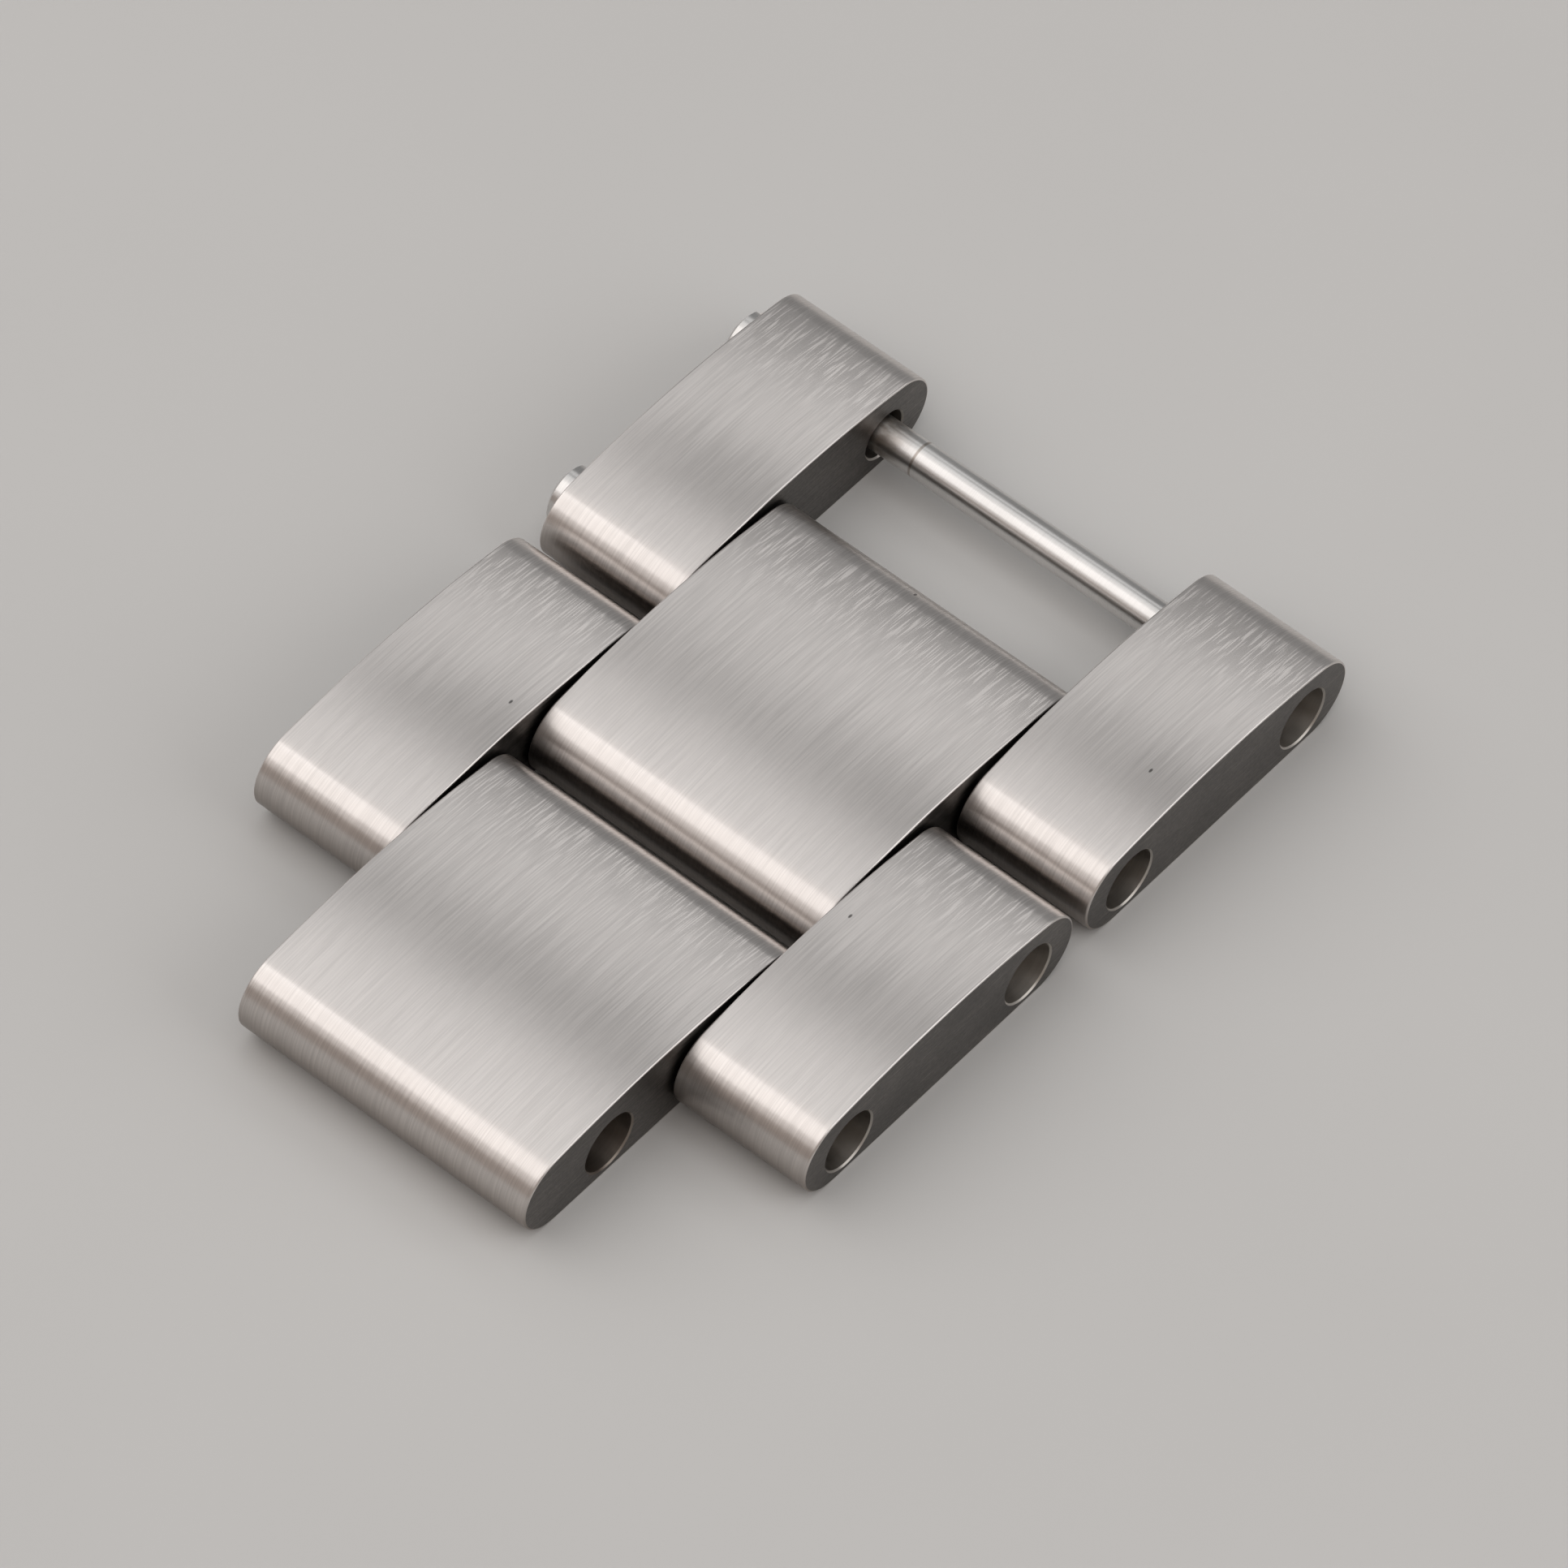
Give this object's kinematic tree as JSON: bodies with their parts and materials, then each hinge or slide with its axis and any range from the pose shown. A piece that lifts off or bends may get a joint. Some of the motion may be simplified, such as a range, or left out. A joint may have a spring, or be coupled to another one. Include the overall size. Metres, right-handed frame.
{
  "type": "watch bracelet link",
  "caption": "Section of a steel watch bracelet: centre and outer links hinged on slotted screw pins, with an open bore at one end and a bare pin at the other.",
  "frame": {"origin": "on the flat underside at mid-width, straight below the axis of the first row's near pin", "axes": "+X along the pins towards the open bore mouths, +Y along the bracelet towards the end with the bare pin, +Z out of the crowned top"},
  "size_m": [0.0169, 0.0245, 0.0025],
  "materials": {
    "satin_steel": "satin, brushed along the links on top and across their round noses",
    "sleeve_steel": "plain turned steel",
    "polished_steel": "polished steel rod, domed slotted head"
  },
  "bodies": {
    "outer_row_1": {"left_outer_link_1": "satin_steel", "right_outer_link_1": "satin_steel"},
    "centre_link_1": {"centre_link_1": "satin_steel", "near_sleeve_1": "sleeve_steel", "far_sleeve_1": "sleeve_steel"},
    "near_screw_1": {"near_screw_pin_1": "polished_steel"},
    "far_screw_1": {"far_screw_pin_1": "polished_steel"},
    "outer_row_2": {"left_outer_link_2": "satin_steel", "right_outer_link_2": "satin_steel"},
    "centre_link_2": {"centre_link_2": "satin_steel", "near_sleeve_2": "sleeve_steel", "far_sleeve_2": "sleeve_steel"},
    "near_screw_2": {"near_screw_pin_2": "polished_steel"},
    "far_screw_2": {"far_screw_pin_2": "polished_steel"}
  },
  "joints": [
    {"name": "centre_link_1_hinge", "type": "hinge", "parent": "outer_row_1", "child": "centre_link_1", "pos_m": [0, 0, 0.001], "axis": [1, 0, 0], "range_deg": [-75, 75]},
    {"name": "centre_link_2_hinge", "type": "hinge", "parent": "outer_row_1", "child": "centre_link_2", "pos_m": [0, 0.00635, 0.001], "axis": [1, 0, 0], "range_deg": [-75, 75]},
    {"name": "outer_row_2_hinge", "type": "hinge", "parent": "centre_link_2", "child": "outer_row_2", "pos_m": [0, 0.01, 0.001], "axis": [1, 0, 0], "range_deg": [-75, 75]},
    {"name": "near_screw_1_travel", "type": "slide", "parent": "outer_row_1", "child": "near_screw_1", "axis": [-1, 0, 0], "range_m": [0, 0.0014]},
    {"name": "far_screw_1_travel", "type": "slide", "parent": "outer_row_1", "child": "far_screw_1", "axis": [-1, 0, 0], "range_m": [0, 0.0014]},
    {"name": "near_screw_2_travel", "type": "slide", "parent": "outer_row_2", "child": "near_screw_2", "axis": [-1, 0, 0], "range_m": [-0.00075, 0.00065]},
    {"name": "far_screw_2_travel", "type": "slide", "parent": "outer_row_2", "child": "far_screw_2", "axis": [-1, 0, 0], "range_m": [-0.00075, 0.00065]}
  ]
}
